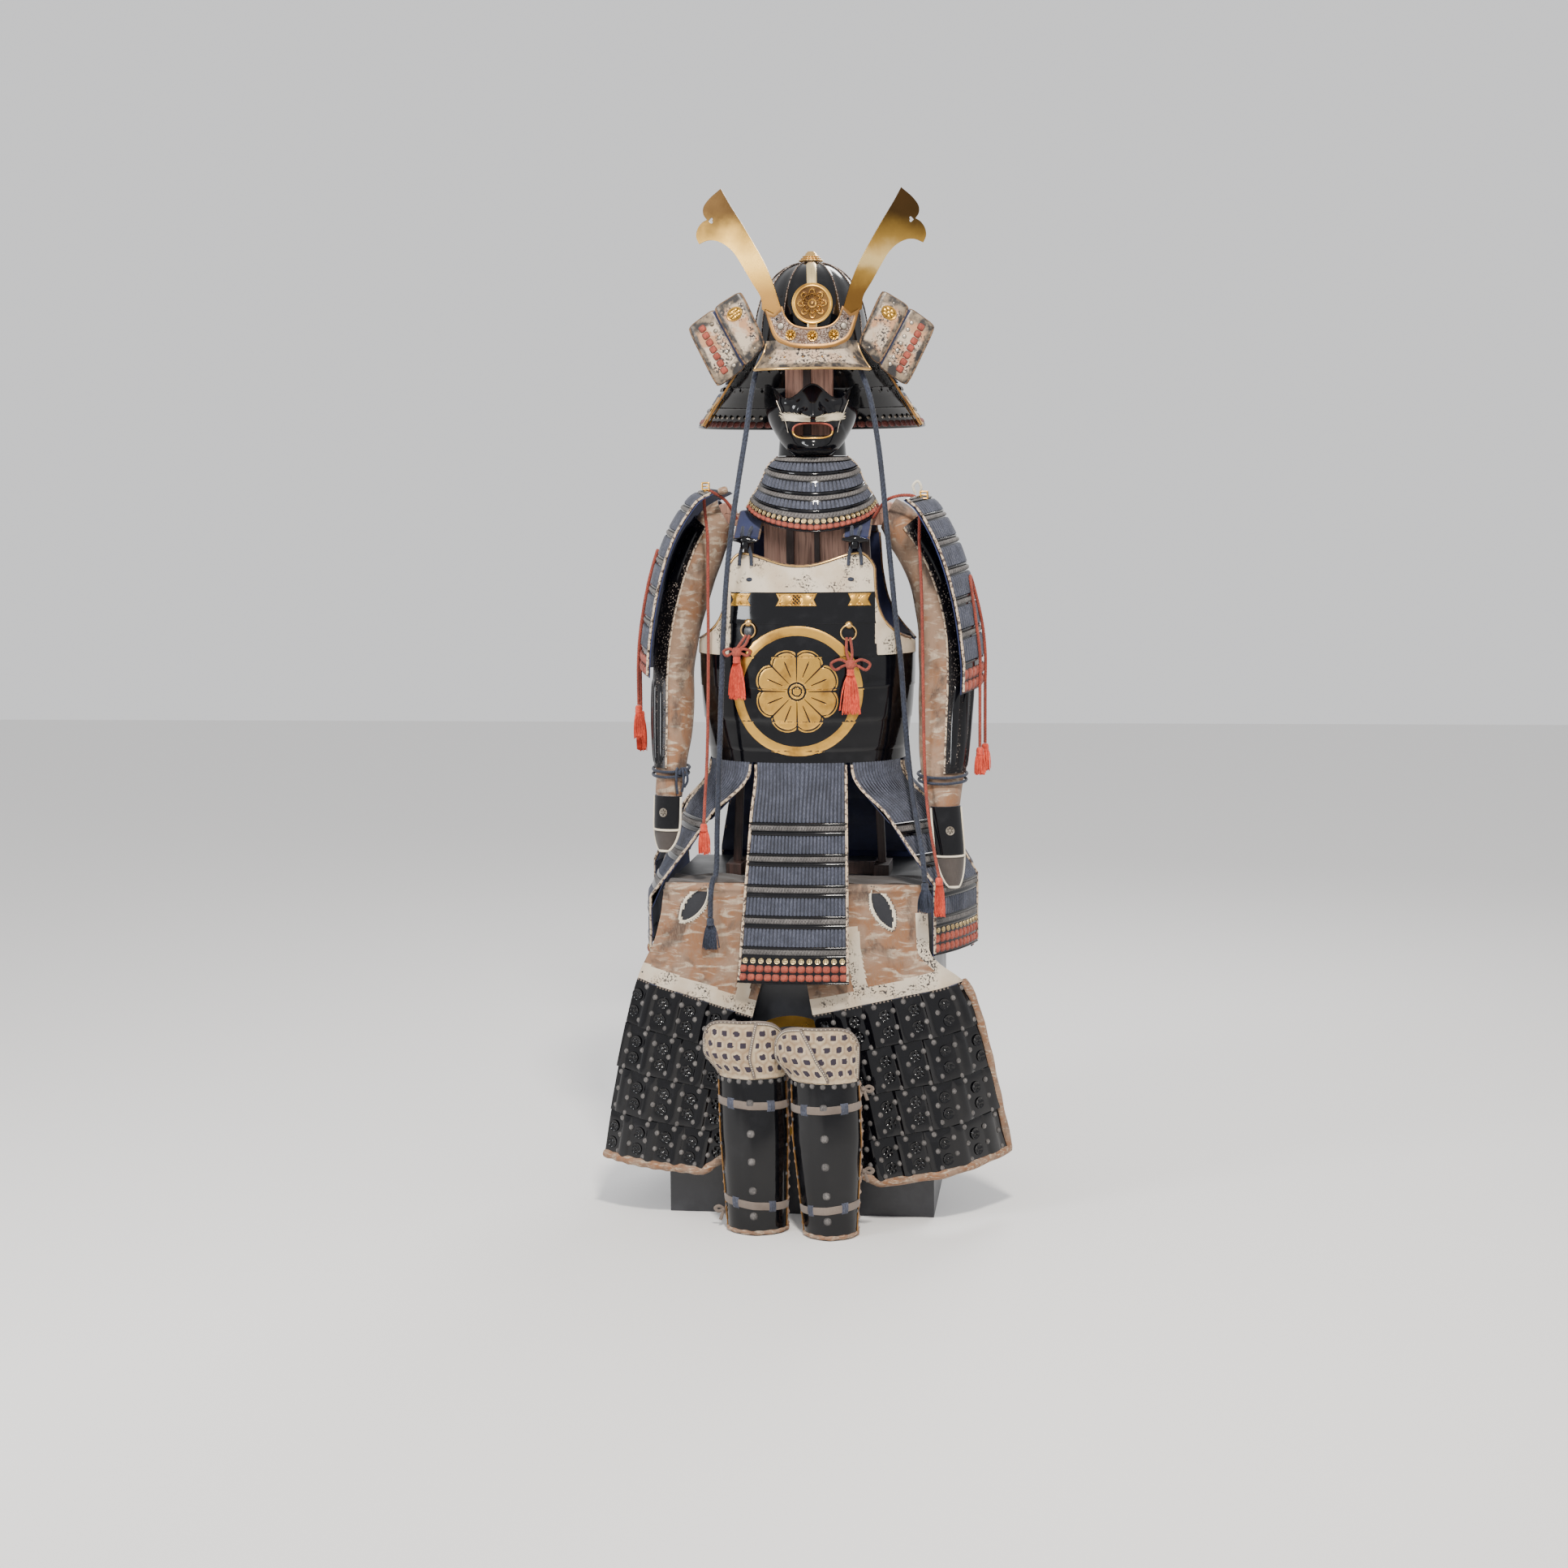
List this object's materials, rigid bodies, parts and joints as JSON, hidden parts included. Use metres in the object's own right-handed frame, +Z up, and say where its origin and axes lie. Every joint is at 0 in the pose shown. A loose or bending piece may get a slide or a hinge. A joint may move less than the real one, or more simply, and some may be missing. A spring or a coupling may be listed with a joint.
{
  "type": "samurai armour on a wooden stand and an armour chest",
  "caption": "Full suit of laced plate armour with horned helmet and face mask, worn by a wooden stand on its black lacquered chest.",
  "frame": {"origin": "middle of the chest's underside, on the floor", "axes": "+Z up, the front faces -Y, +X to the viewer's right when the front is looked at"},
  "size_m": [0.7187, 0.5813, 1.797],
  "materials": {
    "black_lacquer": "gloss",
    "gilt": "satin",
    "silver_band": "aged, embossed",
    "white_leather": "printed, satin",
    "blue_lacing": "braided silk",
    "red_cord": "braided silk",
    "fur_leather": "mottled leather-faced cloth",
    "black_mail": "worn satin",
    "grey_cloth": "matt",
    "kikko_cloth": "quilted",
    "chest_lacquer": "black lacquer, satin",
    "stand_wood": "oiled"
  },
  "bodies": {
    "root": {"chest_body": "chest_lacquer", "chest_lid": "chest_lacquer", "stand": "stand_wood", "cuirass_front": "black_lacquer", "cuirass_back": "black_lacquer", "helmet_bowl": "black_lacquer", "neck_guard": "black_lacquer", "mask": "black_lacquer", "hand_guard_left": "black_lacquer", "hand_guard_right": "black_lacquer", "thigh_scales_left": "black_lacquer", "thigh_scales_right": "black_lacquer", "shin_guard_left": "black_lacquer", "shin_guard_right": "black_lacquer", "cuirass_breast": "white_leather", "helmet_visor": "white_leather", "wing_left": "white_leather", "wing_right": "white_leather", "strap_left": "blue_lacing", "strap_right": "blue_lacing", "tasset_front": "blue_lacing", "tasset_front_left": "blue_lacing", "tasset_front_right": "blue_lacing", "tasset_side_left": "blue_lacing", "tasset_side_right": "blue_lacing", "tasset_back_left": "blue_lacing", "tasset_back_right": "blue_lacing", "shoulder_guard_left": "blue_lacing", "shoulder_guard_right": "blue_lacing", "throat_guard": "blue_lacing", "chin_cord_left": "blue_lacing", "chin_cord_right": "blue_lacing", "chin_cord_left_tassel": "blue_lacing", "chin_cord_right_tassel": "blue_lacing", "sleeve_left": "fur_leather", "sleeve_right": "fur_leather", "thigh_cloth_left": "fur_leather", "thigh_cloth_right": "fur_leather", "arm_plates_left": "black_mail", "arm_plates_right": "black_mail", "thigh_belt": "grey_cloth", "knee_cover_left": "kikko_cloth", "knee_cover_right": "kikko_cloth", "helmet_crown": "gilt", "front_disc": "gilt", "horn_left": "gilt", "horn_right": "gilt", "horn_holder": "silver_band", "front_tassel_left": "red_cord", "front_tassel_right": "red_cord", "red_cord_left": "red_cord", "red_cord_right": "red_cord", "side_cord_left": "red_cord", "side_cord_right": "red_cord", "red_cord_left_tassel": "red_cord", "red_cord_right_tassel": "red_cord", "side_cord_left_tassel": "red_cord", "side_cord_left_tassel_b": "red_cord", "side_cord_right_tassel": "red_cord", "side_cord_right_tassel_b": "red_cord"}
  },
  "joints": []
}
